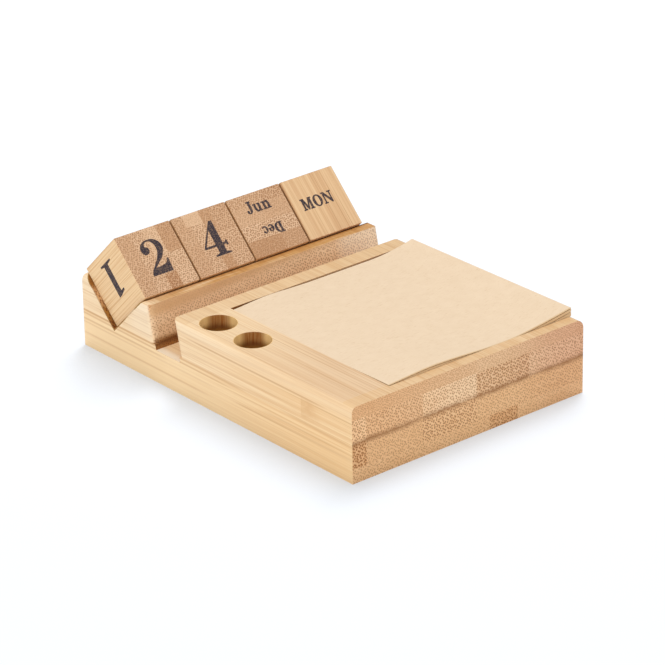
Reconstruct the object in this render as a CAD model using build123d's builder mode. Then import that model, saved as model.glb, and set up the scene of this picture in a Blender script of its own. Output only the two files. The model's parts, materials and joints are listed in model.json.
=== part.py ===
from build123d import *
import os
from math import cos, exp, radians, sin, sqrt, tan

# Desk calendar: a laminated bamboo block with a row of four turning cubes in a groove,
# a leaning slot for a phone, two pen holes and an open tray with a pad of notes.
# Millimetres. X runs along the row of cubes, Y from front to back, Z up.
# The origin is the middle of the underside.

# Boards
base_thickness = 13.0
top_thickness = 12.4

# Note pad and its tray, which is open at the right
sheet_size = 75.0
sheet_clearance = 0.2
sheet_back_gap = 0.6
tray_floor = 4.4
tray_open_margin = 1.3
front_rim = 4.0
back_rim = 6.4

# Pen holes, in the strip at the left of the tray
hole_radius = 6.0
hole_floor = 7.3
hole_side_wall = 2.4
hole_tray_wall = 3.7
hole_back_wall = 6.5
hole_web = 5.0

# Phone slot, which leans back
slot_width = 12.3
slot_lean = 13.0
slot_into_base = 1.8

# Groove for the cubes, cut at 45 degrees through the rails into the base
groove_into_base = 2.1
front_rail_lip = 4.1
rear_rail_lip = 1.7

# Calendar cubes
cube_names = ["tens_cube", "units_cube", "month_cube", "weekday_cube"]
cube_size = 22.0
cube_gap = 0.65
cube_inset = 1.3
cube_clearance = 0.1
cube_edge_radius = 0.3

# Rounded ends
left_edge_radius = 2.0
right_edge_radius = 3.0
board_corner_radius = 1.8
rail_left_corner_radius = 2.3
rail_right_corner_radius = 0.8
front_rail_left_radius = 0.8
front_rail_right_radius = 0.5
rear_rail_end_radius = 2.8
rear_rail_back_radius = 1.5

# Loose sheets on the pad, from the lowest: the share of the curl each one follows
loose_names = ["lower_note_sheets", "middle_note_sheets", "top_note_sheet"]
loose_thickness = [1.3, 0.8, 0.2]
loose_share = [0.94, 0.97, 1.0]
loose_gap = 0.2
pad_drop = 0.6

# Curl of the top sheet: heights at the front right corner, at the back right corner,
# in the wave along the front edge and in the one along the back edge
front_corner_curl = 3.05
back_corner_curl = 2.3
front_wave = 1.35
back_wave = 0.55
sheet_swell = 0.3

# Where the curls start, how wide the waves are and how far they reach, all in shares of
# the sheet, across from its left edge and back from its front edge
front_corner_start = 0.65
front_corner_power = 1.35
back_corner_start = 0.75
back_corner_power = 2.0
front_wave_place = 0.24
front_wave_spread = 0.23
front_wave_reach = 0.25
back_wave_place = 0.2
back_wave_spread = 0.13
back_wave_reach = 0.15
flat_corner_width = 0.12
flat_corner_depth = 0.4

# Widths and heights that follow
tray_depth = sheet_clearance + sheet_size + sheet_back_gap
left_strip = hole_side_wall + 2 * hole_radius + hole_tray_wall
tray_width = left_strip + sheet_clearance + sheet_size + tray_open_margin
cube_pitch = cube_size + cube_gap
row_length = len(cube_names) * cube_pitch - cube_gap
board_width = max(tray_width, row_length + 2 * cube_inset)
left_x = -board_width / 2
top_z = base_thickness + top_thickness
slot_floor_z = base_thickness - slot_into_base
groove_z = base_thickness - groove_into_base
groove_depth = top_thickness + groove_into_base
tray_floor_z = base_thickness + tray_floor

# Stations from front to back, at the height of the top
board_depth = (
    front_rim + tray_depth + back_rim + slot_width
    + front_rail_lip + 2 * groove_depth + rear_rail_lip
)
front_y = -board_depth / 2
back_y = board_depth / 2
tray_front_y = front_y + front_rim
tray_back_y = tray_front_y + tray_depth
board_back_y = tray_back_y + back_rim
rail_front_y = board_back_y + slot_width
groove_y = back_y - rear_rail_lip - groove_depth
lean_slope = tan(radians(slot_lean))
lean_direction = (0, sin(radians(slot_lean)), cos(radians(slot_lean)))
lean_length = top_thickness / cos(radians(slot_lean))


# Y of the slot's front wall at a height; the rear wall is one slot width behind it
def slot_wall_y(z):
    return board_back_y - (top_z - z) * lean_slope


# Outline of the slot, seen from the side
slot_outline = [
    (slot_wall_y(slot_floor_z), slot_floor_z),
    (slot_wall_y(slot_floor_z) + slot_width, slot_floor_z),
    (rail_front_y, top_z),
    (board_back_y, top_z),
]

# Outline of the groove, seen from the side
groove_outline = [
    (groove_y, groove_z),
    (groove_y + groove_depth, top_z),
    (groove_y - groove_depth, top_z),
]

# Places of the two pen holes
hole_x = left_x + hole_side_wall + hole_radius
rear_hole_y = board_back_y - hole_back_wall - hole_radius
front_hole_y = rear_hole_y - 2 * hole_radius - hole_web
hole_places = [(hole_x, rear_hole_y), (hole_x, front_hole_y)]

os.makedirs("parts", exist_ok=True)

# Base board, full length, with the foot of the slot, of the groove and of the holes
with BuildPart() as base_board:
    with BuildSketch():
        Rectangle(board_width, board_depth)
    extrude(amount=base_thickness)
    with BuildSketch(Plane.YZ):
        with BuildLine():
            Polyline(*slot_outline, close=True)
        make_face()
        with BuildLine():
            Polyline(*groove_outline, close=True)
        make_face()
    extrude(amount=board_width, both=True, mode=Mode.SUBTRACT)
    with BuildSketch(Plane.XY.offset(hole_floor)):
        with Locations(*hole_places):
            Circle(hole_radius)
    extrude(amount=base_thickness, mode=Mode.SUBTRACT)
base_board.part.label = "base_board"
export_step(base_board.part, "parts/base_board.step")

# Front board, glued on the base, with the tray, the pen holes and a leaning back wall
with BuildPart() as front_board:
    with BuildSketch(Plane.YZ):
        with BuildLine():
            Polyline(
                (front_y, base_thickness),
                (slot_wall_y(base_thickness), base_thickness),
                (board_back_y, top_z),
                (front_y, top_z),
                close=True,
            )
        make_face()
    extrude(amount=board_width / 2, both=True)

    # Top edges rounded along both sides
    with BuildSketch(Plane.XZ) as board_end:
        with Locations((0, base_thickness)):
            Rectangle(board_width, top_thickness, align=(Align.CENTER, Align.MIN))
        fillet(board_end.vertices().group_by(Axis.Y)[-1].sort_by(Axis.X)[0], left_edge_radius)
        fillet(board_end.vertices().group_by(Axis.Y)[-1].sort_by(Axis.X)[-1], right_edge_radius)
    extrude(amount=board_depth, both=True, mode=Mode.INTERSECT)

    # Corners beside the slot rounded along their lean
    with BuildSketch(Plane.XY.offset(base_thickness)) as board_plan:
        with Locations((0, slot_wall_y(base_thickness))):
            Rectangle(board_width, board_depth, align=(Align.CENTER, Align.MAX))
        fillet(board_plan.vertices().group_by(Axis.Y)[-1], board_corner_radius)
    extrude(amount=lean_length, dir=lean_direction, mode=Mode.INTERSECT)

    # Tray, open at the right
    with BuildSketch(Plane.XY.offset(tray_floor_z)):
        with Locations((left_x + left_strip, tray_front_y)):
            Rectangle(board_width, tray_depth, align=(Align.MIN, Align.MIN))
    extrude(amount=top_thickness, mode=Mode.SUBTRACT)

    with BuildSketch(Plane.XY.offset(base_thickness)):
        with Locations(*hole_places):
            Circle(hole_radius)
    extrude(amount=top_thickness, mode=Mode.SUBTRACT)
front_board.part.label = "front_board"
export_step(front_board.part, "parts/front_board.step")

# Front rail, between the slot and the groove
with BuildPart() as front_rail:
    with BuildSketch(Plane.YZ):
        with BuildLine():
            Polyline(
                (slot_wall_y(base_thickness) + slot_width, base_thickness),
                (groove_y - groove_into_base, base_thickness),
                (groove_y - groove_depth, top_z),
                (rail_front_y, top_z),
                close=True,
            )
        make_face()
    extrude(amount=board_width / 2, both=True)

    with BuildSketch(Plane.XZ) as rail_end:
        with Locations((0, base_thickness)):
            Rectangle(board_width, top_thickness, align=(Align.CENTER, Align.MIN))
        fillet(rail_end.vertices().group_by(Axis.Y)[-1].sort_by(Axis.X)[0], front_rail_left_radius)
        fillet(rail_end.vertices().group_by(Axis.Y)[-1].sort_by(Axis.X)[-1], front_rail_right_radius)
    extrude(amount=board_depth, both=True, mode=Mode.INTERSECT)

    with BuildSketch(Plane.XY.offset(base_thickness)) as rail_plan:
        with Locations((0, slot_wall_y(base_thickness) + slot_width)):
            Rectangle(board_width, board_depth, align=(Align.CENTER, Align.MIN))
        fillet(rail_plan.vertices().group_by(Axis.Y)[0].sort_by(Axis.X)[0], rail_left_corner_radius)
        fillet(rail_plan.vertices().group_by(Axis.Y)[0].sort_by(Axis.X)[-1], rail_right_corner_radius)
    extrude(amount=lean_length, dir=lean_direction, mode=Mode.INTERSECT)
front_rail.part.label = "front_rail"
export_step(front_rail.part, "parts/front_rail.step")

# Rear rail, behind the groove
with BuildPart() as rear_rail:
    with BuildSketch(Plane.YZ) as rear_side:
        with BuildLine():
            Polyline(
                (groove_y + groove_into_base, base_thickness),
                (back_y, base_thickness),
                (back_y, top_z),
                (groove_y + groove_depth, top_z),
                close=True,
            )
        make_face()
        fillet(rear_side.vertices().group_by(Axis.Y)[-1].sort_by(Axis.X)[-1], rear_rail_back_radius)
    extrude(amount=board_width / 2, both=True)

    with BuildSketch(Plane.XZ) as rear_end:
        with Locations((0, base_thickness)):
            Rectangle(board_width, top_thickness, align=(Align.CENTER, Align.MIN))
        fillet(rear_end.vertices().group_by(Axis.Y)[-1], rear_rail_end_radius)
    extrude(amount=board_depth, both=True, mode=Mode.INTERSECT)
rear_rail.part.label = "rear_rail"
export_step(rear_rail.part, "parts/rear_rail.step")

# Calendar cubes, each standing on an edge in the groove
cube_z = groove_z + sqrt(2) * (cube_clearance + cube_size / 2)
for place, cube_name in enumerate(cube_names):
    with BuildPart() as cube:
        with BuildSketch(Plane.YZ.offset(left_x + cube_inset + place * cube_pitch)):
            with Locations((groove_y, cube_z)):
                Rectangle(cube_size, cube_size, rotation=45)
        extrude(amount=cube_size)
        fillet(cube.edges(), cube_edge_radius)
    cube.part.label = cube_name
    export_step(cube.part, f"parts/{cube_name}.step")

# Pad of notes in the tray, up to the first loose sheet
sheet_left_x = left_x + left_strip + sheet_clearance
sheet_front_y = tray_front_y + sheet_clearance
loose_height = sum(loose_thickness) + len(loose_names) * loose_gap
pad_top_z = top_z - pad_drop - loose_height
with BuildPart() as note_pad:
    with BuildSketch(Plane.XY.offset(tray_floor_z)):
        with Locations((sheet_left_x, sheet_front_y)):
            Rectangle(sheet_size, sheet_size, align=(Align.MIN, Align.MIN))
    extrude(amount=pad_top_z - tray_floor_z)
note_pad.part.label = "note_pad"
export_step(note_pad.part, "parts/note_pad.step")


# Rise towards the right edge, from 0 at the start to 1 at the edge
def corner_rise(across, start, power):
    return max(0, (across - start) / (1 - start)) ** power


# Smooth bump of height 1
def bump(distance, spread):
    return exp(-((distance / spread) ** 2))


# Height of the top sheet over its flat state; across and back are shares of the sheet
def curl_height(across, back):
    front_corner = corner_rise(across, front_corner_start, front_corner_power) * (1 - back)
    back_corner = corner_rise(across, back_corner_start, back_corner_power) * back
    flat_corner = max(0, 1 - across / flat_corner_width) * max(0, 1 - (1 - back) / flat_corner_depth)
    front_edge = bump(across - front_wave_place, front_wave_spread) * bump(back, front_wave_reach)
    back_edge = bump(across - back_wave_place, back_wave_spread) * bump(1 - back, back_wave_reach)
    return (
        sheet_swell * (1 - flat_corner)
        + front_corner_curl * front_corner
        + back_corner_curl * back_corner
        + front_wave * front_edge
        + back_wave * back_edge
    )


# Loose sheets, lofted through thin curved sections from the front edge to the back one
across_stations = [0, 0.08, 0.16, 0.25, 0.35, 0.47, 0.6, 0.7, 0.8, 0.9, 1]
back_stations = [0, 0.12, 0.25, 0.45, 0.65, 0.85, 1]
sheet_bottom_z = pad_top_z + loose_gap
for loose_name, thickness, share in zip(loose_names, loose_thickness, loose_share):
    with BuildPart() as loose_sheet:
        for back in back_stations:
            upper_edge = [
                (
                    sheet_left_x + across * sheet_size,
                    sheet_bottom_z + thickness + share * curl_height(across, back),
                )
                for across in across_stations
            ]
            lower_edge = [(x, z - thickness) for x, z in upper_edge]
            with BuildSketch(Plane.XZ.offset(-(sheet_front_y + back * sheet_size))):
                with BuildLine():
                    Spline(*upper_edge)
                    Line(upper_edge[-1], lower_edge[-1])
                    Spline(*reversed(lower_edge))
                    Line(lower_edge[0], upper_edge[0])
                make_face()
        loft()
    loose_sheet.part.label = loose_name
    export_step(loose_sheet.part, f"parts/{loose_name}.step")
    sheet_bottom_z += thickness + loose_gap
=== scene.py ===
import json
import math
import bmesh
import bpy
from mathutils import Matrix, Vector


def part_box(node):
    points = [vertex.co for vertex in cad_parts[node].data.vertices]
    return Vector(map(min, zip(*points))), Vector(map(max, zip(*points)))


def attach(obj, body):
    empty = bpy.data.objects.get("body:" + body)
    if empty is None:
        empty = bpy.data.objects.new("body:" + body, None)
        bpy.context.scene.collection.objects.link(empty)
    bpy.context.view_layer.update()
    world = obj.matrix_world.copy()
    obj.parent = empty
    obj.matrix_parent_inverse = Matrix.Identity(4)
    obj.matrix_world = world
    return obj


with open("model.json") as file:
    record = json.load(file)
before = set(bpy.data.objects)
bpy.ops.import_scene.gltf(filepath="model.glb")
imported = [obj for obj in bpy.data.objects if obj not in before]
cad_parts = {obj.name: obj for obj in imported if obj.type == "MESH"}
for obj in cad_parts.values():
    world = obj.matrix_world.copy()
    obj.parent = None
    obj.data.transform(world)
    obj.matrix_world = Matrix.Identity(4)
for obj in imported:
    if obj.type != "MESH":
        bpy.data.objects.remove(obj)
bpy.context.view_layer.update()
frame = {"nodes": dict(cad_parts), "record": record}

# A bamboo desk calendar: cubes in a groove, a phone slot, two pen holes and a pad of notes
nodes = frame["nodes"]
mm = 0.001
print("frame loaded,", len(nodes), "nodes")


def hexToLinear(code):
    parts = [int(code[i:i + 2], 16) / 255 for i in (1, 3, 5)]
    return tuple(p / 12.92 if p <= 0.04045 else ((p + 0.055) / 1.055) ** 2.4 for p in parts) + (1.0,)


def addNode(tree, kind, settings):
    # whole numbers and socket names set or link sockets, "stops" sets a ramp, other words are the node's own
    node = tree.nodes.new("ShaderNode" + kind)
    for key, value in settings.items():
        if isinstance(value, str) and value.startswith("#"):
            value = hexToLinear(value)
        if key == "stops":
            ramp = node.color_ramp.elements
            while len(ramp) < len(value):
                ramp.new(0.5)
            for stop, (place, colour) in zip(ramp, value):
                stop.position = place
                stop.color = hexToLinear(colour) if isinstance(colour, str) else (*colour, 1.0)
        elif isinstance(value, bpy.types.NodeSocket):
            tree.links.new(value, node.inputs[key])
        elif isinstance(key, int) or key in node.inputs:
            node.inputs[key].default_value = value
        else:
            setattr(node, key, value)
    return node


def newMaterial(name):
    material = bpy.data.materials.new(name)
    material.use_nodes = True
    material.node_tree.nodes.clear()
    return material


# Camera: a long lens from the front left, a little above
camera = {
    "azimuth": -39.781,
    "elevation": 24.883,
    "roll": -0.994,
    "distance": 1.20598,
    "target": (0.000883, -0.000502, 0.012358),
    "lens": 205.97,
    "sensor": 36,
    "near": 0.05,
    "far": 20,
}
az, el, roll = (math.radians(camera[key]) for key in ("azimuth", "elevation", "roll"))
back = Vector((math.sin(az) * math.cos(el), -math.cos(az) * math.cos(el), math.sin(el)))
level = Vector((math.cos(az), math.sin(az), 0))
rise = back.cross(level)
right = math.cos(roll) * level + math.sin(roll) * rise
up = -math.sin(roll) * level + math.cos(roll) * rise
lens = bpy.data.cameras.new("camera")
lens.lens = camera["lens"]
lens.sensor_width = camera["sensor"]
lens.clip_start = camera["near"]
lens.clip_end = camera["far"]
eye = bpy.data.objects.new("camera", lens)
eye.matrix_world = Matrix.Translation(Vector(camera["target"]) + back * camera["distance"]) @ (
    Matrix((right, up, back)).transposed().to_4x4())
bpy.context.scene.collection.objects.link(eye)
bpy.context.scene.camera = eye
bpy.context.scene.view_settings.view_transform = "Standard"
print("camera set")

# Soft studio light: a pale dome, a large key lamp at the upper left, a weak one at the right,
# and one high behind for the sweep alone, whose shadow falls to the front left
dome = {"colour": "#FFFFFF", "strength": 0.7, "seen": 1.0}
lamps = {
    "key": {"place": (-1.7, -0.7, 2.3), "size": (2.4, 2.4), "energy": 34.0, "colour": "#FFFBF4", "on": "object"},
    "fill": {"place": (1.7, -1.5, 1.4), "size": (1.8, 1.8), "energy": 6.0, "colour": "#FFFFFF", "on": "object"},
    "top": {"place": (0.66, 0.42, 2.0), "size": (0.8, 1.8), "energy": 53.0, "colour": "#FFFFFF", "on": "sweep"},
}
for lampName, lamp in lamps.items():
    area = bpy.data.lights.new(lampName, "AREA")
    area.shape = "RECTANGLE"
    area.size, area.size_y = lamp["size"]
    area.energy = lamp["energy"]
    area.color = hexToLinear(lamp["colour"])[:3]
    holder = bpy.data.objects.new(lampName, area)
    holder.location = lamp["place"]
    holder.rotation_euler = (-Vector(lamp["place"])).to_track_quat("-Z", "Y").to_euler()
    bpy.context.scene.collection.objects.link(holder)

world = bpy.data.worlds.new("studio")
world.use_nodes = True
tree = world.node_tree
tree.nodes.clear()
rays = addNode(tree, "LightPath", {}).outputs
seen = rays["Is Camera Ray"]
for ray in ("Is Glossy Ray", "Is Transmission Ray"):
    seen = addNode(tree, "Math", {"operation": "MAXIMUM", 0: seen, 1: rays[ray]}).outputs[0]
pale = addNode(tree, "Background", {"Color": dome["colour"], "Strength": dome["strength"]})
white = addNode(tree, "Background", {"Color": "#FFFFFF", "Strength": dome["seen"]})
both = addNode(tree, "MixShader", {0: seen, 1: pale.outputs[0], 2: white.outputs[0]})
addNode(tree, "OutputWorld", {"Surface": both.outputs[0]})
bpy.context.scene.world = world

# Floor: pale paper sweep, white to the camera and still taking the shadow
sweep = {"size": 6.0, "colour": "#C9CBCE", "seen": "#9EA3AA", "lift": 0.45}
bm = bmesh.new()
bmesh.ops.create_grid(bm, x_segments=1, y_segments=1, size=sweep["size"] / 2)
floorMesh = bpy.data.meshes.new("floor")
bm.to_mesh(floorMesh)
bm.free()
floor = bpy.data.objects.new("floor", floorMesh)
bpy.context.scene.collection.objects.link(floor)
sweepPaper = newMaterial("matt paper sweep")
tree = sweepPaper.node_tree
toCamera = addNode(tree, "LightPath", {}).outputs["Is Camera Ray"]
tint = addNode(tree, "Mix", {"data_type": "RGBA", 0: toCamera, 6: sweep["colour"], 7: sweep["seen"]})
matt = addNode(tree, "BsdfDiffuse", {"Color": tint.outputs[2]})
lift = addNode(tree, "Math", {"operation": "MULTIPLY", 0: toCamera, 1: sweep["lift"]})
glow = addNode(tree, "Emission", {"Color": "#FFFFFF", "Strength": lift.outputs[0]})
total = addNode(tree, "AddShader", {0: matt.outputs[0], 1: glow.outputs[0]})
addNode(tree, "OutputMaterial", {"Surface": total.outputs[0]})
floorMesh.materials.append(sweepPaper)
for lampName, lamp in lamps.items():
    # the high lamp lights only the sweep, the other two only the object
    lit = bpy.data.collections.new(lampName + " light")
    lit.objects.link(floor)
    bpy.data.objects[lampName].light_linking.receiver_collection = lit
    if lamp["on"] == "object":
        lit.collection_objects[0].light_linking.link_state = "EXCLUDE"
print("light and floor set")

# The cubes in their groove and the ink on them, in mm, but inkStand is a share of the ink's height, and
# letterGap and wordBold of a letter's
cube = {
    "order": ("tens", "units", "month", "weekday"), "size": 22.0, "first": -46.0, "pitch": 22.65, "y": 50.45,
    "z": 26.598, "inkHeight": 0.04, "inkStand": 0.2, "letterGap": 0.1, "wordBold": 0.017,
}
# Where the boards are glued and cut, in mm: across from the middle, along to the back, heights above the table
cuts = {
    "glue": 13.0, "frontRim": -61.5, "trayBack": (12.9, 13.4), "trayLeft": -30.0, "backRim": (13.2, 20.5),
    "slot": (16.8, 31.4), "slotWall": (26.5, 32.0), "slotTop": 25.2, "ledge": (12.3, 14.0), "slotFloor": 12.2,
    "rail": (31.0, 38.0), "railFoot": 23.0, "grooveLip": (35.0, 36.1), "grooveFoot": 10.9, "grooveSkin": 0.6,
    "knotFront": (-53.5, -45.0), "knotBack": (-42.6, -43.2), "knotHigh": (14.0, 20.2), "knotLeft": -44.5,
    "glueSoft": 0.2, "boreSkin": 0.12, "scorchedSide": (0.64, 0.77, 0),
    "bores": [mount for mount in frame["record"]["mounts"] if mount["kind"] == "bore"],
}
# Bamboo in boards and cubes alike. A pattern has its cycles per mm across, along and up, its detail and its
# roughness; fibres and threads, finer than 0.1 mm in the wood, are drawn as coarse as they need to show.
# The rows of dots are turned by rowTurn degrees and scattered by unevenness; the relief is in mm
grain = {
    "patterns": {
        "broad": ((0.16, 0.006, 0.2), 2.0, 0.55), "lines": ((1.25, 0.014, 1.25), 4.0, 0.62),
        "fibres": ((5.0, 0.07, 5.0), 2.0, 0.55), "threads": ((1.9, 0.012, 1.9), 2.0, 0.55),
        "cloud": ((0.09, 0.0, 0.25), 2.0, 0.55),
    },
    "rowTurn": 33, "unevenness": 0.6, "relief": 0.22, "reliefDepth": 0.06,
    "roughness": 0.52, "ior": 1.5, "gloss": 0.35,
}


def bamboo(name, look):
    # laminated bamboo, planed and sanded: long fibres along the strips, dots of cut fibre bundles on the ends
    material = newMaterial(name)
    tree = material.node_tree

    def amount(*terms):
        # the terms multiplied: a socket or a number counts as it is, (value, start, end) eases from 0 to 1 or
        # to the low and high numbers that follow, and (value, operation, others) is worked out
        product = None
        for term in terms:
            if isinstance(term, tuple):
                value, *others = term
                if isinstance(others[0], str):
                    kind, settings = "Math", {"operation": others.pop(0)}
                else:
                    kind, settings = "MapRange", {"interpolation_type": "SMOOTHSTEP"}
                settings.update(enumerate([value] + others))
                term = addNode(tree, kind, settings).outputs[0]
            if product is not None:
                term = addNode(tree, "Math", {"operation": "MULTIPLY", 0: product, 1: term}).outputs[0]
            product = term
        return product

    def band(value, start, end, soft=0.1):
        # 1 where the value lies between start and end
        return amount((value, start - soft, start + soft), (value, end + soft, end - soft))

    def paint(base, *coats):
        # coats over each other, each an amount, a colour and, where it stains what is under it, "MULTIPLY"
        for share, colour, *blend in coats:
            base = addNode(tree, "Mix", {"data_type": "RGBA", "blend_type": blend[0] if blend else "MIX",
                                         0: share, 6: base, 7: colour}).outputs[2]
        return base

    # place in millimetres with the fibre along Y, and the share of the surface that cuts across it
    turn = (math.radians(look["turn"]), 0, 0)
    middle = -(Matrix.Rotation(turn[0], 3, "X") @ Vector(look["middle"]))
    coords = addNode(tree, "TexCoord", {}).outputs
    place = addNode(tree, "Mapping", {"Location": middle, "Rotation": turn, "Scale": (1 / mm,) * 3,
                                      "Vector": coords["Object"]}).outputs[0]
    facing = addNode(tree, "Mapping", {"vector_type": "VECTOR", "Rotation": turn, "Vector": coords["Normal"]})
    across, along, high = addNode(tree, "SeparateXYZ", {0: place}).outputs
    faceAcross, faceAlong, faceUp = addNode(tree, "SeparateXYZ", {0: facing.outputs[0]}).outputs
    eitherSide = amount((faceAcross, "ABSOLUTE"))
    sideways = amount((eitherSide, "GREATER_THAN", 0.7))
    cut = amount((amount((faceAlong, "ABSOLUTE")), 0.45, 0.64))

    # strips glued side by side in layers: tone, strength of the dots and share of large ones
    width = addNode(tree, "MapRange", {0: across, 1: -look["halfWidth"], 2: look["halfWidth"]}).outputs[0]
    layers = [((high, "GREATER_THAN", foot), stops) for foot, stops in look["layers"]]
    if look["board"]:
        slotWall = amount(band(along, *cuts["slotWall"]), cut)
        layers.append((slotWall, look["slotStrips"]))
    row = None
    for part, stops in layers:
        strips = addNode(tree, "ValToRGB", {"stops": stops, 0: width})
        strips.color_ramp.interpolation = "CONSTANT"
        row = strips.outputs[0] if row is None else paint(row, (amount(part), strips.outputs[0]))
    tone, dots, coarse = addNode(tree, "SeparateColor", {0: row}).outputs

    # long grain: broad tint, lines every millimetre or so, fine fibres and brown threads
    patterns = {}
    for key, (scale, detail, roughness) in {**grain["patterns"], **look["patterns"]}.items():
        drawnOut = addNode(tree, "Mapping", {"Scale": scale, "Vector": place})
        patterns[key] = addNode(tree, "TexNoise", {"Scale": 1.0, "Detail": detail, "Roughness": roughness,
                                                   "Vector": drawnOut.outputs[0]}).outputs[0]
    longGrain = paint(look["longDark"],
                      (amount((patterns["lines"], 0.36, 0.62)), look["longLight"]),
                      (amount((patterns["broad"], 0.35, 0.65, 0.0, 0.5)), look["longWarm"]),
                      (amount((patterns["fibres"], 0.42, 0.7), 0.22), look["longLight"]),
                      (look["stripContrast"], paint(look["longDark"], (tone, look["longLight"]))),
                      (amount((patterns["threads"], 0.54, 0.68, 0.0, look["threadDepth"])), look["thread"]))

    # end grain: brown fibre bundles with pale pith between them
    endPlane = addNode(tree, "CombineXYZ", {0: across, 1: high}).outputs[0]
    endPlane = addNode(tree, "Mapping", {"Rotation": (0, 0, math.radians(grain["rowTurn"])),
                                         "Vector": endPlane}).outputs[0]
    spans = []
    for pitch in (look["finePitch"], look["coarsePitch"]):
        cells = addNode(tree, "TexVoronoi", {"voronoi_dimensions": "2D", "feature": "F1", "Scale": 1 / pitch,
                                             "Randomness": grain["unevenness"], "Vector": endPlane})
        spans.append(cells.outputs["Distance"])
    if look["board"]:
        # the slot's wall is smooth and browner at its upper left
        slant = amount((across, "MULTIPLY_ADD", -0.05, high))
        smooth = amount(slotWall, (slant, *look["smoothFrom"]))
        dots = amount(dots, (smooth, "MULTIPLY_ADD", -0.75, 1.0))
    span = paint(spans[0], (coarse, spans[1]))
    bundle = amount((span, 0.41, 0.22))
    pith = amount((span, 0.45, 0.64))
    endGrain = paint(look["endDark"],
                     (tone, look["endLight"]),
                     (amount((patterns["cloud"], 0.35, 0.7, 0.0, 0.22)), look["endDark"]),
                     (amount(bundle, dots, look["dotDepth"]), look["dot"]),
                     (amount(pith, dots, look["pithDepth"]), look["pith"]))

    if look["board"]:
        # the base board is a little warmer than the upper ones, whose front is yellower at the left and
        # pinker at the right; the slot's wall is paler at the right
        glue = cuts["glue"]
        base = amount((high, glue + cuts["glueSoft"], glue - cuts["glueSoft"]))
        outside = amount((1.0, "SUBTRACT", slotWall))
        upper = amount((high, glue - cuts["glueSoft"], glue + cuts["glueSoft"]), outside)
        toRight = amount((across, 10.0, 44.0))
        endGrain = paint(endGrain,
                         (amount(base, 0.9), look["baseWarm"], "MULTIPLY"),
                         (amount((across, 12.0, -44.0), upper), look["leftEnd"], "MULTIPLY"),
                         (amount(toRight, upper), look["rightEnd"], "MULTIPLY"),
                         (amount(toRight, outside), look["rightDull"], "MULTIPLY"),
                         (smooth, look["slotSmooth"], "MULTIPLY"),
                         (amount(slotWall, (across, 28.0, 34.0, 0.0, 0.35)), look["pale"]))
        # the sides are paler beside the groove and at the back, and warmer toward the front
        paler = amount((amount(band(along, 24.0, 42.0, 4.0), 0.35), "ADD", amount((along, 56.0, 62.0, 0.0, 0.1))))
        longGrain = paint(longGrain,
                          (amount(base, 0.25), look["baseWarm"], "MULTIPLY"),
                          (amount(base, sideways, (along, -40.0, 35.0, 0.2, 0.65)), look["baseLight"]),
                          (amount(sideways, paler, (high, 12.0, 17.0)), look["pale"]),
                          (amount(sideways, (along, 20.0, -60.0, 0.0, 0.8)), look["baseWarm"], "MULTIPLY"))
        # a joint of the stem shows on the left side near the front as a soft brown patch
        knot = amount((along, *cuts["knotFront"]), (along, *cuts["knotBack"]), band(high, *cuts["knotHigh"], 0.7),
                      (across, "LESS_THAN", cuts["knotLeft"]))
        longGrain = paint(longGrain, (amount(knot, (patterns["smudge"], 0.3, 0.7, 0.35, 0.85)), look["knot"]))
        # thin brown lines in the sides
        reach, soft = look["lineReach"]
        for height, slope, start, end, depth in look["sideLines"]:
            near = band(amount((along, "MULTIPLY_ADD", -slope, high)), height - reach, height + reach, soft)
            longGrain = paint(longGrain, (amount(near, band(along, start, end, 6.0),
                                                 (patterns["broad"], 0.3, 0.6, 0.5, 1.0), depth, sideways),
                                          look["line"]))
        # the glue line wanders, and is darker where the boards' dense outer fibres meet
        wavy = amount((patterns["wander"], "MULTIPLY_ADD", -look["glueWander"], high))
        middle = glue - look["glueWander"] / 2
        ragged = amount((patterns["ragged"], 0.3, 0.62, 0.35, 1.0))
        for reach, soft, depth in look["glueLines"]:
            endGrain = paint(endGrain, (amount(band(wavy, middle - reach, middle + reach, soft), depth, ragged),
                                        look["glue"]))

    surface = paint(longGrain, (cut, endGrain))
    if look["board"]:
        # the top faces are duller toward the front, warm on the rims, and tan in front of the cubes; painted light
        # makes the sides paler toward their top edge
        top = amount((faceUp, 0.6, 0.95))
        rail = amount(band(along, *cuts["rail"]), (faceUp, 0.3, 0.7), (high, "GREATER_THAN", cuts["railFoot"]),
                      (patterns["wear"], 0.32, 0.64, 0.35, 1.15), (across, -47.0, -40.0),
                      (along, 30.5, 34.0, 0.6, 1.0), (across, -40.0, 30.0, 0.75, 2.2))
        surface = paint(surface,
                        (amount(top, (along, 10.0, -50.0)), look["topDull"], "MULTIPLY"),
                        (amount(sideways, (high, 19.0, 24.0, 0.0, 0.2)), look["pale"]),
                        (amount(top, (along, "LESS_THAN", cuts["frontRim"])), look["frontRim"], "MULTIPLY"),
                        (amount(top, band(along, *cuts["backRim"]), (across, -30.0, 45.0, 0.4, 1.0)),
                         look["backRim"], "MULTIPLY"),
                        (rail, look["railTop"], "MULTIPLY"))
        # painted shade in the recesses: the pen holes, slot, groove and the back of the tray; the pen holes' walls
        # also take the drill's streaks
        streaks = amount((patterns["drilled"], 0.35, 0.65, 0.72, 1.0))
        plan = addNode(tree, "CombineXYZ", {0: across, 1: along}).outputs[0]
        paintedShades = []
        for bore in cuts["bores"]:
            centre = (bore["pos_m"][0] / mm, bore["pos_m"][1] / mm, 0)
            offset = addNode(tree, "VectorMath", {"operation": "SUBTRACT", 0: plan, 1: centre}).outputs[0]
            reach = addNode(tree, "VectorMath", {"operation": "LENGTH", 0: offset}).outputs["Value"]
            wall = amount((reach, "LESS_THAN", bore["dims"]["r_mm"] + cuts["boreSkin"]))
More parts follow.
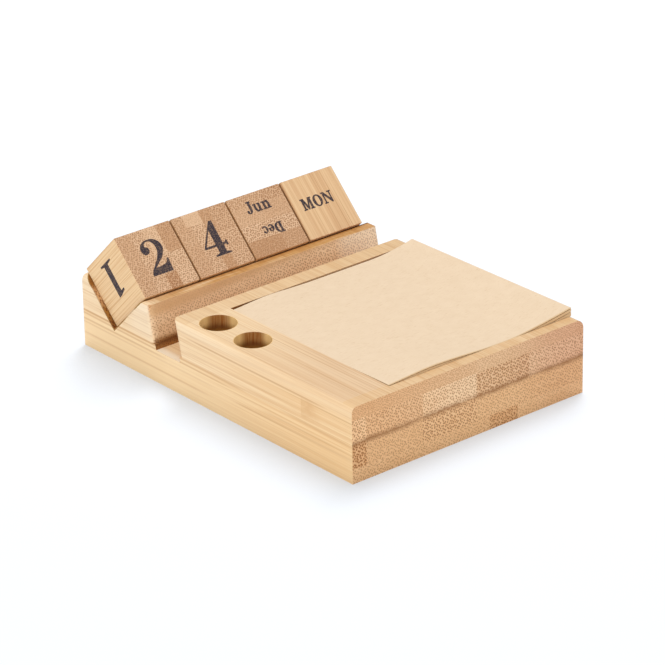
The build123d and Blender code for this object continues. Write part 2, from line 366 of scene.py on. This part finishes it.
            # painted shade on the rear right of the wall, the part seen deepest from the front left
            rear = addNode(tree, "VectorMath", {"operation": "DOT_PRODUCT", 0: offset, 1: cuts["scorchedSide"]})
            scorch = amount(wall, (rear.outputs["Value"], 4.2, 5.9), (high, 19.6, 21.8), streaks)
            surface = paint(surface, (amount(wall, streaks), look["boreWall"]),
                            (scorch, look["scorch"], "MULTIPLY"))
            # painted shade deeper down each hole
            paintedShades.append(amount(wall, (high, 23.6, 20.4, 0.0, 1.1)))
        inSlot = amount(band(along, *cuts["slot"], 0.05), (1.0, "SUBTRACT", sideways),
                        (high, "LESS_THAN", cuts["slotTop"]))
        level = amount((faceUp, "GREATER_THAN", 0.7))
        # painted shade in the slot: deeper down its walls, at their foot, toward their left end and on the small
        # ledge at the foot
        paintedShades += [amount(inSlot, cut, (high, 24.5, 15.5, 0.0, 0.12)),
                  amount(inSlot, cut, (high, 16.0, 13.0, 0.0, 0.85)),
                  amount(inSlot, cut, (high, 22.0, 16.0), (across, -20.0, -45.0, 0.0, 0.12)),
                  amount(inSlot, level, band(high, *cuts["ledge"]))]
        # light falls on the end of the slot's floor
        slotFloor = amount(inSlot, level, (high, "LESS_THAN", cuts["slotFloor"]))
        # painted shade on the groove's sides, which rise at 45 degrees under the cubes: darkest at the foot and at
        # the lip
        flank = amount((amount((along, "SUBTRACT", cube["y"])), "ABSOLUTE"))
        groove = amount((amount((high, "SUBTRACT", flank)), "COMPARE", cuts["grooveFoot"], cuts["grooveSkin"]))
        darker = amount((amount((high, 19.0, 13.0, 0.5, 1.6)), "ADD", amount((high, 21.0, 24.5, 0.0, 1.3))))
        surface = paint(surface, (amount(slotFloor, (across, -43.2, -46.2, 0.0, 0.9)), look["pale"]),
                        (amount(groove, darker), look["grooveBurn"], "MULTIPLY"))
        # painted shade on the rail's top along the groove's lip under the cubes, and in the gap at the back of the
        # tray
        paintedShades += [amount(top, (along, *cuts["grooveLip"], 0.0, 0.6), (along, "LESS_THAN", cuts["rail"][1])),
                  amount(band(along, *cuts["trayBack"], 0.05), (faceAlong, "LESS_THAN", -0.5),
                         (across, "GREATER_THAN", cuts["trayLeft"]), (across, -12.0, -26.0, 0.35, 1.2))]
        shadeTotal = paintedShades[0]
        for burn in paintedShades[1:]:
            shadeTotal = amount((shadeTotal, "ADD", burn))
        surface = paint(surface, (shadeTotal, look["burn"], "MULTIPLY"))
    else:
        # the sides are combed by the saw, and those that face the next cube take painted shade round their edges from
        # the gap between the cubes
        side = amount((faceAcross, "MULTIPLY", look["darkSide"])) if look["darkSide"] else eitherSide
        rim = amount((amount((along, "ABSOLUTE")), "MAXIMUM", amount((high, "ABSOLUTE"))))
        surface = paint(surface,
                        (amount(sideways, 0.5), look["sideLight"]),
                        (amount(sideways, (patterns["combed"], 0.47, 0.63, 0.0, 0.5)), look["combed"]),
                        (amount((side, "GREATER_THAN", 0.8), (rim, 5.0, 10.0), 0.65), look["burn"], "MULTIPLY"))
    hollows = amount(cut, (1.0, "SUBTRACT", bundle))
    relief = amount((amount((1.0, "SUBTRACT", cut), patterns["lines"]), "ADD", hollows))
    bump = addNode(tree, "Bump", {"Strength": grain["relief"], "Distance": grain["reliefDepth"] * mm,
                                  "Height": relief})
    shader = addNode(tree, "BsdfPrincipled", {"Roughness": grain["roughness"], "IOR": grain["ior"],
                                              "Specular IOR Level": grain["gloss"], "Base Color": surface,
                                              "Normal": bump.outputs[0]})
    addNode(tree, "OutputMaterial", {"Surface": shader.outputs[0]})
    return material


boardLook = {
    "turn": 0, "middle": (0, 0, 0), "halfWidth": 47.3, "board": True, "stripContrast": 0.06,
    "longLight": "#FCE1BA", "longDark": "#EAC597", "longWarm": "#F4D2A4", "thread": "#C79A66", "threadDepth": 0.35,
    "endLight": "#F9D6AC", "endDark": "#D9A877", "dot": "#8C5118", "pith": "#FBE0BC", "glue": "#94602F",
    # the shade colours below, for the recesses, the pen holes and the groove, are painted shade; pale also serves as
    # painted light on the upper sides and the slot's floor
    "baseWarm": "#FFF6E6", "knot": "#E3B681", "burn": "#A88C66", "railTop": "#D8B98C", "topDull": "#F2ECEA",
    "boreWall": "#FFD68F", "scorch": "#9D6F3E", "grooveBurn": "#A88C52", "line": "#C38B50", "pale": "#FFEFD6",
    "leftEnd": "#FFF4E6", "rightEnd": "#FBF2F5", "slotSmooth": "#E5D7C6", "baseLight": "#FFE1B2",
    "frontRim": "#FFFBF0", "backRim": "#EEE4D6", "rightDull": "#F5EDEA",
    # pitch of the dots in mm, their strength, and the heights at the middle where the slot's wall turns smooth
    "finePitch": 0.64, "coarsePitch": 0.84, "dotDepth": 0.9, "pithDepth": 0.3, "smoothFrom": (21.965, 25.365),
    # the glue line's rise and fall in mm, and half width, softness and strength of its wide and narrow parts
    "glueWander": 1.6, "glueLines": [(0.95, 0.75, 0.6), (0.25, 0.15, 0.5)],
    "patterns": {
        "smudge": ((1.0, 0.35, 0.5), 3.0, 0.55), "wander": ((0.06, 0.0, 0.0), 3.0, 0.55),
        "ragged": ((0.12, 0.02, 0.0), 2.0, 0.55), "wear": ((0.06, 0.7, 0.06), 2.0, 0.55),
        "drilled": ((3.4, 3.4, 0.12), 3.0, 0.55),
    },
    # the foot of each layer in mm, and its strips across the width: tone, strength and size of the dots
    "layers": [
        (-1.0, [(0.0, (0.6, 0.6, 0.6)), (0.585, (0.22, 1.0, 0.7)), (0.706, (0.75, 0.5, 0.6))]),
        (4.8, [(0.0, (0.05, 1.0, 1.0)), (0.058, (0.5, 0.6, 0.6)), (0.294, (0.55, 0.85, 1.0)),
               (0.525, (0.6, 0.6, 0.7)), (0.756, (0.55, 0.6, 0.7))]),
        (13.0, [(0.0, (0.9, 0.75, 1.0)), (0.058, (0.5, 0.7, 0.8)), (0.294, (1.0, 0.7, 1.0)),
                (0.525, (0.25, 0.9, 1.0)), (0.756, (0.65, 0.75, 0.7))]),
        (21.0, [(0.0, (0.4, 0.5, 0.2)), (0.525, (0.48, 0.5, 0.2))]),
    ],
    "slotStrips": [(0.0, (1.0, 0.6, 0.6)), (0.5, (1.0, 0.62, 0.8)), (0.838, (1.0, 0.8, 1.0))],
    # half width and softness of the lines in the sides, and of each its height in mm, slope, ends and strength
    "lineReach": (0.325, 0.275), "sideLines": [
        (12.7, 0.0, -14.0, 70.0, 0.75), (11.4, 0.004, -6.0, 70.0, 0.5), (13.0, 0.012, -67.0, -36.0, 0.7),
        (20.8, 0.0, -52.0, 10.0, 0.5), (10.1, -0.006, 26.0, 70.0, 0.4), (4.8, 0.0, 5.0, 67.0, 0.35),
        (7.2, -0.01, -67.0, -12.0, 0.5), (9.3, -0.004, -67.0, -25.0, 0.4), (8.6, 0.0, 0.0, 67.0, 0.25),
        (16.2, 0.0, -30.0, 12.0, 0.25),
    ],
}
# darkSide is 1 or -1 for the one side that faces the next cube and takes painted shade from the gap, and 0 where both
# do
cubeLook = {
    "turn": 45, "halfWidth": 11.0, "board": False, "stripContrast": 0.4, "darkSide": 0,
    "longLight": "#EFCDA0", "longDark": "#CFA072", "longWarm": "#E3BB8C", "thread": "#B9875A", "threadDepth": 0.75,
    # the darkest brown below is painted shade round the edges of the sides that face the next cube
    "endLight": "#EDC8A2", "endDark": "#C3946A", "dot": "#80481E", "pith": "#F6DABD", "burn": "#A98666",
    "sideLight": "#FFDFAE", "combed": "#CB9252",
    "finePitch": 0.56, "coarsePitch": 0.7, "dotDepth": 0.85, "pithDepth": 0.3,
    "patterns": {"combed": ((2.0, 0.015, 2.0), 2.0, 0.55)},
}
cubeLayers = {
    "tens": [
        (-11, [(0.0, (0.4, 0.75, 0.7)), (0.255, (0.6, 0.8, 0.8)), (0.49, (0.0, 1.0, 0.3)), (0.7, (0.75, 0.8, 0.8))]),
        (-5.7, [(0.0, (0.4, 0.75, 0.7)), (0.255, (0.6, 0.8, 0.8)), (0.49, (0.6, 0.8, 0.8)), (0.73, (0.7, 0.8, 0.8))]),
        (0.8, [(0.0, (0.35, 0.7, 0.6)), (0.255, (0.6, 0.8, 0.8)), (0.49, (0.8, 0.6, 0.6)), (0.73, (0.15, 0.7, 0.5))]),
    ],
    "units": [
        (-11, [(0.0, (0.4, 0.7, 0.6)), (0.255, (0.55, 0.8, 0.8)), (0.49, (0.1, 0.6, 0.5)), (0.67, (0.5, 0.8, 0.8))]),
        (-6, [(0.0, (0.4, 0.7, 0.6)), (0.255, (0.6, 0.8, 0.8)), (0.49, (0.5, 0.8, 0.8))]),
        (1.5, [(0.0, (0.4, 0.7, 0.6)), (0.255, (0.65, 0.8, 0.8)), (0.49, (0.25, 0.7, 0.6)), (0.68, (0.4, 0.8, 0.7))]),
        (6.5, [(0.0, (0.4, 0.7, 0.6)), (0.19, (0.8, 0.35, 0.4)), (0.49, (0.15, 0.6, 0.5)), (0.68, (0.35, 0.8, 0.7))]),
    ],
    "month": [
        (-11, [(0.0, (0.05, 0.6, 0.2)), (0.6, (0.2, 0.6, 0.2))]),
        (-5.1, [(0.0, (0.75, 0.85, 0.9)), (0.5, (0.7, 0.85, 0.9))]),
        (0.4, [(0.0, (0.5, 0.55, 0.4)), (0.5, (0.4, 0.55, 0.4))]),
        (6.8, [(0.0, (0.4, 0.7, 0.8)), (0.6, (0.3, 0.85, 0.8))]),
    ],
    "weekday": [
        (-11, [(0.0, (0.7, 0.8, 0.8)), (0.24, (0.8, 0.8, 0.8)), (0.52, (0.3, 0.8, 0.8)), (0.73, (0.6, 0.8, 0.8))]),
    ],
}


def cubeMiddle(name):
    left = cube["first"] + cube["order"].index(name) * cube["pitch"]
    return Vector((left + cube["size"] / 2, cube["y"], cube["z"]))


def cubeBamboo(name, **changes):
    return bamboo("sanded bamboo " + name + " cube", {**cubeLook, "middle": cubeMiddle(name),
                                                      "layers": cubeLayers[name], **changes})


boardBamboo = bamboo("sanded bamboo board", boardLook)
tensBamboo = cubeBamboo("tens", darkSide=1)
unitsBamboo = cubeBamboo("units")
monthBamboo = cubeBamboo("month")
weekdayBamboo = cubeBamboo("weekday", turn=-45, darkSide=-1)


def kraftPaper(name, look):
    # uncoated kraft paper, rolled: matt, with a faint cloudy formation and short fibres
    material = newMaterial(name)
    tree = material.node_tree
    coords = addNode(tree, "TexCoord", {}).outputs
    place = addNode(tree, "Mapping", {"Scale": (1 / mm,) * 3, "Vector": coords["Object"]}).outputs[0]
    cloud = addNode(tree, "TexNoise", {"Scale": look["cloudScale"], "Detail": 4.0, "Roughness": 0.55,
                                       "Vector": place})
    nap = addNode(tree, "TexNoise", {"Scale": look["napScale"], "Detail": 3.0, "Roughness": 0.6, "Vector": place})
    tint = addNode(tree, "ValToRGB", {"stops": [(0.3, look["shade"]), (0.7, look["sheet"])], 0: cloud.outputs[0]})
    colour = tint.outputs[0]
    for angle in look["fibreAngles"]:
        # short fibres lying in two directions
        laid = addNode(tree, "Mapping", {"Rotation": (0, 0, math.radians(angle)), "Scale": look["fibreScale"],
                                         "Vector": place})
        hair = addNode(tree, "TexNoise", {"Scale": 1.0, "Detail": 1.0, "Vector": laid.outputs[0]})
        picked = addNode(tree, "MapRange", {0: hair.outputs[0], 1: 0.64, 2: 0.76, 4: look["fibreDepth"]})
        colour = addNode(tree, "Mix", {"data_type": "RGBA", 0: picked.outputs[0], 6: colour,
                                       7: look["fibre"]}).outputs[2]
    # the cut sides are browner, and thin leaves show in them as lines
    facing = addNode(tree, "SeparateXYZ", {0: coords["Normal"]})
    upright = addNode(tree, "Math", {"operation": "ABSOLUTE", 0: facing.outputs[2]})
    upright = addNode(tree, "Math", {"operation": "LESS_THAN", 0: upright.outputs[0], 1: 0.5})
    leaves = addNode(tree, "Mapping", {"Scale": look["leafScale"], "Vector": place})
    leaves = addNode(tree, "TexNoise", {"Scale": 1.0, "Detail": 1.0, "Vector": leaves.outputs[0]})
    sides = addNode(tree, "ValToRGB", {"stops": [(0.4, look["sideDark"]), (0.55, look["side"])],
                                       0: leaves.outputs[0]})
    colour = addNode(tree, "Mix", {"data_type": "RGBA", 0: upright.outputs[0], 6: colour,
                                   7: sides.outputs[0]}).outputs[2]
    # a painted band along the top sheet's front edge, browner like the cut sides: it stands in for the pile's sides
    # showing there and partly for painted shade under the edge
    depth = addNode(tree, "SeparateXYZ", {0: place}).outputs[1]
    start, end = (look["front"] + reach for reach in look["handled"])
    handled = addNode(tree, "MapRange", {0: depth, 1: start, 2: end, 4: look["handledDepth"]})
    colour = addNode(tree, "Mix", {"data_type": "RGBA", 0: handled.outputs[0], 6: colour,
                                   7: look["side"]}).outputs[2]
    bump = addNode(tree, "Bump", {"Strength": look["relief"], "Distance": look["reliefDepth"] * mm,
                                  "Height": nap.outputs[0]})
    shader = addNode(tree, "BsdfPrincipled", {"Roughness": look["roughness"], "IOR": look["ior"],
                                              "Specular IOR Level": look["gloss"], "Base Color": colour,
                                              "Normal": bump.outputs[0]})
    addNode(tree, "OutputMaterial", {"Surface": shader.outputs[0]})
    return material


# Scales are cycles per mm: clouds of 4 mm, a nap of 0.3 mm, fibres 3 mm long and leaves 0.4 mm apart,
# which are coarser than the real 0.1 mm so that they show
paperLook = {
    "sheet": "#F4DDC0", "shade": "#F0D8BA", "fibre": "#D2AE7E", "side": "#E0C197", "sideDark": "#BE9A69",
    "cloudScale": 0.28, "napScale": 3.2, "fibreScale": (0.35, 3.5, 3.5), "leafScale": (0.02, 0.02, 2.4),
    "fibreAngles": (25, 100), "fibreDepth": 0.35, "relief": 0.12, "reliefDepth": 0.03,
    "front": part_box("top_note_sheet")[0][1] / mm, "handled": (0.65, 0.3), "handledDepth": 0.9,
    "roughness": 0.85, "ior": 1.45, "gloss": 0.2,
}
notePaper = kraftPaper("kraft paper", paperLook)

finishes = {
    "base_board": boardBamboo, "front_board": boardBamboo, "front_rail": boardBamboo, "rear_rail": boardBamboo,
    "tens_cube": tensBamboo, "units_cube": unitsBamboo, "month_cube": monthBamboo, "weekday_cube": weekdayBamboo,
    "note_pad": notePaper, "lower_note_sheets": notePaper, "middle_note_sheets": notePaper,
    "top_note_sheet": notePaper,
}
for nodeName, finish in finishes.items():
    solid = nodes[nodeName]
    if not solid.material_slots:
        solid.data.materials.append(finish)
    for slot in solid.material_slots:
        slot.link = "OBJECT"
        slot.material = finish
print("materials made:", len(bpy.data.materials))

# Printing ink: matt blue-black, thin over the grain so that it breaks into lighter specks of about 0.4 mm
ink = {"colour": "#37313B", "worn": "#846C5A", "specks": 2.6, "roughness": 0.7, "ior": 1.45, "gloss": 0.2}
printInk = newMaterial("printing ink")
tree = printInk.node_tree
place = addNode(tree, "Mapping", {"Scale": (1 / mm,) * 3, "Vector": addNode(tree, "TexCoord", {}).outputs["Object"]})
speck = addNode(tree, "TexNoise", {"Scale": ink["specks"], "Detail": 2.0, "Vector": place.outputs[0]})
worn = addNode(tree, "ValToRGB", {"stops": [(0.46, ink["colour"]), (0.73, ink["worn"])], 0: speck.outputs[0]})
shader = addNode(tree, "BsdfPrincipled", {"Roughness": ink["roughness"], "IOR": ink["ior"],
                                          "Specular IOR Level": ink["gloss"], "Base Color": worn.outputs[0]})
addNode(tree, "OutputMaterial", {"Surface": shader.outputs[0]})

# Slab-serif figures drawn as closed outlines of height 1: (x, y, s) is a smooth point, (x, y) a corner
s = "smooth"
outlines = {
    "0": (0.64, [[(0.32, 1, s), (0, 0.5, s), (0.32, 0, s), (0.64, 0.5, s)],
                 [(0.32, 0.94, s), (0.2, 0.5, s), (0.32, 0.06, s), (0.44, 0.5, s)]]),
    "1": (0.58, [[(0, 0), (0.58, 0), (0.58, 0.05), (0.42, 0.08), (0.42, 1), (0.3, 1), (0.04, 0.93), (0.04, 0.87),
                  (0.2, 0.88), (0.2, 0.08), (0, 0.05)]]),
    "2": (0.68, [[(0.01, 0), (0.65, 0), (0.68, 0.37), (0.63, 0.37), (0.58, 0.28, s), (0.5, 0.235, s),
                  (0.2, 0.2), (0.34, 0.3, s), (0.58, 0.5, s), (0.68, 0.72, s), (0.58, 0.93, s), (0.34, 1, s),
                  (0.11, 0.93, s), (0.02, 0.77, s), (0.06, 0.64, s), (0.16, 0.61, s), (0.25, 0.67, s),
                  (0.25, 0.79, s), (0.17, 0.84, s), (0.2, 0.91, s), (0.32, 0.955, s), (0.43, 0.89, s),
                  (0.48, 0.71, s), (0.4, 0.5, s), (0.2, 0.28, s), (0.04, 0.1, s)]]),
    "4": (0.75, [[(0.6, 1), (0.6, 0.33), (0.68, 0.33), (0.71, 0.38), (0.75, 0.38), (0.75, 0.23), (0.71, 0.23),
                  (0.68, 0.27), (0.6, 0.27), (0.6, 0.08), (0.74, 0.04), (0.74, 0), (0.22, 0), (0.22, 0.04),
                  (0.37, 0.08), (0.37, 0.27), (0, 0.27), (0, 0.32), (0.5, 1)],
                 [(0.37, 0.33), (0.07, 0.33), (0.37, 0.75)]]),
    "7": (0.66, [[(0.03, 1), (0.66, 1), (0.66, 0.93), (0.5, 0.6, s), (0.42, 0.3, s), (0.42, 0), (0.2, 0),
                  (0.24, 0.34, s), (0.38, 0.6, s), (0.54, 0.82), (0.2, 0.82, s), (0.07, 0.72), (0.02, 0.72)]]),
    "D": (0.84, [[(0, 0), (0.4, 0), (0.74, 0.16, s), (0.84, 0.5, s), (0.74, 0.84, s), (0.4, 1), (0, 1), (0, 0.92),
                  (0.11, 0.92), (0.11, 0.08), (0, 0.08)],
                 [(0.32, 0.08), (0.4, 0.08), (0.57, 0.22, s), (0.61, 0.5, s), (0.57, 0.78, s), (0.4, 0.92),
                  (0.32, 0.92)]]),
    "E": (0.78, [[(0, 0), (0.75, 0), (0.78, 0.3), (0.72, 0.3), (0.62, 0.09), (0.32, 0.09), (0.32, 0.47),
                  (0.46, 0.47), (0.48, 0.36), (0.53, 0.36), (0.53, 0.66), (0.48, 0.66), (0.46, 0.55),
                  (0.32, 0.55), (0.32, 0.91), (0.6, 0.91), (0.68, 0.72), (0.74, 0.72), (0.72, 1), (0, 1),
                  (0, 0.92), (0.11, 0.92), (0.11, 0.08), (0, 0.08)]]),
    "J": (0.6, [[(0.2, 1), (0.6, 1), (0.6, 0.92), (0.51, 0.92), (0.51, 0.25, s), (0.4, 0.04, s), (0.2, -0.02, s),
                 (0.03, 0.08, s), (0.02, 0.23, s), (0.12, 0.28, s), (0.2, 0.2, s), (0.18, 0.08, s), (0.26, 0.07, s),
                 (0.31, 0.25, s), (0.31, 0.92), (0.2, 0.92)]]),
    "M": (1.08, [[(0, 0), (0.33, 0), (0.33, 0.08), (0.23, 0.08), (0.23, 0.74), (0.47, 0), (0.56, 0), (0.8, 0.76),
                  (0.8, 0.08), (0.7, 0.08), (0.7, 0), (1.08, 0), (1.08, 0.08), (0.99, 0.08), (0.99, 0.92),
                  (1.08, 0.92), (1.08, 1), (0.77, 1), (0.55, 0.3), (0.32, 1), (0, 1), (0, 0.92), (0.1, 0.92),
                  (0.1, 0.08), (0, 0.08)]]),
    "N": (0.96, [[(0, 0), (0.32, 0), (0.32, 0.08), (0.21, 0.08), (0.21, 0.76), (0.74, 0), (0.85, 0), (0.85, 0.92),
                  (0.96, 0.92), (0.96, 1), (0.63, 1), (0.63, 0.92), (0.75, 0.92), (0.75, 0.3), (0.27, 1), (0, 1),
                  (0, 0.92), (0.1, 0.92), (0.1, 0.08), (0, 0.08)]]),
    "O": (0.88, [[(0.44, 1.01, s), (0, 0.5, s), (0.44, -0.01, s), (0.88, 0.5, s)],
                 [(0.44, 0.93, s), (0.23, 0.5, s), (0.44, 0.07, s), (0.65, 0.5, s)]]),
    "T": (0.84, [[(0.2, 0), (0.64, 0), (0.64, 0.08), (0.53, 0.08), (0.53, 0.91), (0.66, 0.91), (0.78, 0.7),
                  (0.84, 0.7), (0.82, 1), (0.02, 1), (0, 0.7), (0.06, 0.7), (0.18, 0.91), (0.31, 0.91),
                  (0.31, 0.08), (0.2, 0.08)]]),
    "U": (0.92, [[(0, 1), (0.42, 1), (0.42, 0.92), (0.32, 0.92), (0.32, 0.32, s), (0.38, 0.13, s), (0.52, 0.08, s),
                  (0.67, 0.15, s), (0.72, 0.34, s), (0.72, 0.92), (0.61, 0.92), (0.61, 1), (0.92, 1),
                  (0.92, 0.92), (0.81, 0.92), (0.81, 0.32, s), (0.7, 0.06, s), (0.45, -0.02, s), (0.2, 0.06, s),
                  (0.11, 0.3, s), (0.11, 0.92), (0, 0.92)]]),
    "c": (0.54, [[(0.54, 0.15), (0.3, -0.015, s), (0, 0.33, s), (0.3, 0.68, s), (0.5, 0.59, s), (0.5, 0.46, s),
                  (0.39, 0.45, s), (0.36, 0.57, s), (0.28, 0.62, s), (0.19, 0.33, s), (0.32, 0.08, s),
                  (0.49, 0.19)]]),
    "e": (0.57, [[(0.57, 0.31), (0.19, 0.31), (0.23, 0.14, s), (0.35, 0.07, s), (0.51, 0.16), (0.56, 0.12),
                  (0.3, -0.015, s), (0, 0.33, s), (0.3, 0.68, s), (0.52, 0.53, s)],
                 [(0.19, 0.39), (0.39, 0.39), (0.37, 0.56, s), (0.29, 0.62, s), (0.21, 0.55, s)]]),
    "l": (0.36, [[(0, 0), (0.36, 0), (0.36, 0.07), (0.28, 0.07), (0.28, 1), (0, 1), (0, 0.93), (0.09, 0.93),
                  (0.09, 0.07), (0, 0.07)]]),
    "n": (0.76, [[(0, 0), (0.36, 0), (0.36, 0.07), (0.28, 0.07), (0.28, 0.46), (0.4, 0.57, s), (0.48, 0.46, s),
                  (0.48, 0.07), (0.41, 0.07), (0.41, 0), (0.76, 0), (0.76, 0.07), (0.67, 0.07), (0.67, 0.46, s),
                  (0.52, 0.68, s), (0.28, 0.57), (0.28, 0.66), (0, 0.66), (0, 0.59), (0.1, 0.59), (0.1, 0.07),
                  (0, 0.07)]]),
    "o": (0.6, [[(0.3, 0.68, s), (0, 0.33, s), (0.3, -0.015, s), (0.6, 0.33, s)],
                [(0.3, 0.62, s), (0.19, 0.33, s), (0.3, 0.045, s), (0.41, 0.33, s)]]),
    "u": (0.74, [[(0, 0.66), (0.28, 0.66), (0.28, 0.2, s), (0.37, 0.09, s), (0.48, 0.2), (0.48, 0.59),
                  (0.4, 0.59), (0.4, 0.66), (0.66, 0.66), (0.66, 0.07), (0.74, 0.07), (0.74, 0), (0.49, 0),
                  (0.49, 0.09), (0.3, -0.02, s), (0.09, 0.2, s), (0.09, 0.59), (0, 0.59)]]),
    "v": (0.7, [[(0, 0.66), (0.36, 0.66), (0.36, 0.59), (0.29, 0.59), (0.41, 0.22), (0.52, 0.59), (0.45, 0.59),
                 (0.45, 0.66), (0.7, 0.66), (0.7, 0.59), (0.63, 0.59), (0.4, 0), (0.31, 0), (0.07, 0.59),
                 (0, 0.59)]]),
}

# Directions on a cube that stands on its edge
acrossCube = Vector((1, 0, 0))
frontFace = Vector((0, -1, 1)).normalized()
rearFace = Vector((0, 1, 1)).normalized()


def printOn(name, words, body, out, reading, height, left, base):
    # words on the face that looks out, from left and base in mm from its middle, reading that way
    rising = out.cross(reading)
    curve = bpy.data.curves.new(name, "CURVE")
    curve.dimensions = "2D"
    curve.fill_mode = "BOTH"
    curve.resolution_u = 10
    curve.extrude = cube["inkHeight"] / height / 2
    curve.offset = cube["wordBold"] if len(words) > 1 else 0.0
    start = 0.0
    for letter in words:
        width, rings = outlines[letter]
        for place, ring in enumerate(rings):
            # outer outlines run anticlockwise and inner ones clockwise, so that both grow bolder
            area = sum(a[0] * b[1] - b[0] * a[1] for a, b in zip(ring, ring[1:] + ring[:1]))
            ring = ring if (area > 0) == (place == 0) else ring[::-1]
            spline = curve.splines.new("BEZIER")
            spline.bezier_points.add(len(ring) - 1)
            spline.use_cyclic_u = True
            for point, corner in zip(spline.bezier_points, ring):
                point.co = (start + corner[0], corner[1], 0)
                point.handle_left_type = point.handle_right_type = "AUTO" if len(corner) == 3 else "VECTOR"
        start += width + cube["letterGap"]
    drawn = bpy.data.objects.new(name, curve)
    bpy.context.scene.collection.objects.link(drawn)
    bpy.context.view_layer.update()
    graph = bpy.context.evaluated_depsgraph_get()
    flat = bpy.data.meshes.new_from_object(drawn.evaluated_get(graph))
    bpy.data.objects.remove(drawn)
    stand = cube["size"] / 2 + cube["inkStand"] * cube["inkHeight"]
    corner = cubeMiddle(body) + out * stand + reading * left + rising * base
    flat.transform(Matrix.Scale(mm, 4) @ Matrix.Translation(corner) @ (
        Matrix((reading, rising, out)).transposed().to_4x4()) @ Matrix.Scale(height, 4))
    bm = bmesh.new()
    bm.from_mesh(flat)
    bmesh.ops.remove_doubles(bm, verts=bm.verts, dist=0.002 * mm)
    bmesh.ops.recalc_face_normals(bm, faces=bm.faces)
    bm.to_mesh(flat)
    bm.free()
    piece = bpy.data.objects.new(name, flat)
    piece.data.materials.clear()
    piece.data.materials.append(printInk)
    bpy.context.scene.collection.objects.link(piece)
    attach(piece, body)


prints = {
    "tens_two": {"words": "2", "body": "tens", "out": frontFace, "reading": acrossCube,
                 "height": 12.3, "left": -4.3, "base": -5.2},
    "tens_one": {"words": "1", "body": "tens", "out": -acrossCube, "reading": -frontFace,
                 "height": 12.0, "left": -3.6, "base": -7.5},
    "tens_zero": {"words": "0", "body": "tens", "out": rearFace, "reading": -acrossCube,
                  "height": 12.3, "left": -3.9, "base": -6.1},
    "units_four": {"words": "4", "body": "units", "out": frontFace, "reading": acrossCube,
                   "height": 12.3, "left": -4.5, "base": -5.9},
    "units_seven": {"words": "7", "body": "units", "out": rearFace, "reading": -acrossCube,
                    "height": 12.3, "left": -4.0, "base": -6.1},
    "month_upper_word": {"words": "Jun", "body": "month", "out": frontFace, "reading": acrossCube,
                         "height": 4.2, "left": -5.4, "base": 4.1},
    "month_lower_word": {"words": "Dec", "body": "month", "out": frontFace, "reading": -acrossCube,
                         "height": 3.7, "left": -4.6, "base": 1.3},
    "month_rear_upper_word": {"words": "Jul", "body": "month", "out": rearFace, "reading": -acrossCube,
                              "height": 4.2, "left": -3.9, "base": 4.1},
    "month_rear_lower_word": {"words": "Nov", "body": "month", "out": rearFace, "reading": acrossCube,
                              "height": 3.7, "left": -4.7, "base": 1.3},
    "weekday_word": {"words": "MON", "body": "weekday", "out": frontFace, "reading": acrossCube,
                     "height": 4.1, "left": -7.4, "base": -0.9},
    "weekday_rear_word": {"words": "TUE", "body": "weekday", "out": rearFace, "reading": -acrossCube,
                          "height": 4.1, "left": -5.6, "base": -2.0},
}
for name, values in prints.items():
    printOn(name, **values)
print("figures printed:", len(prints))
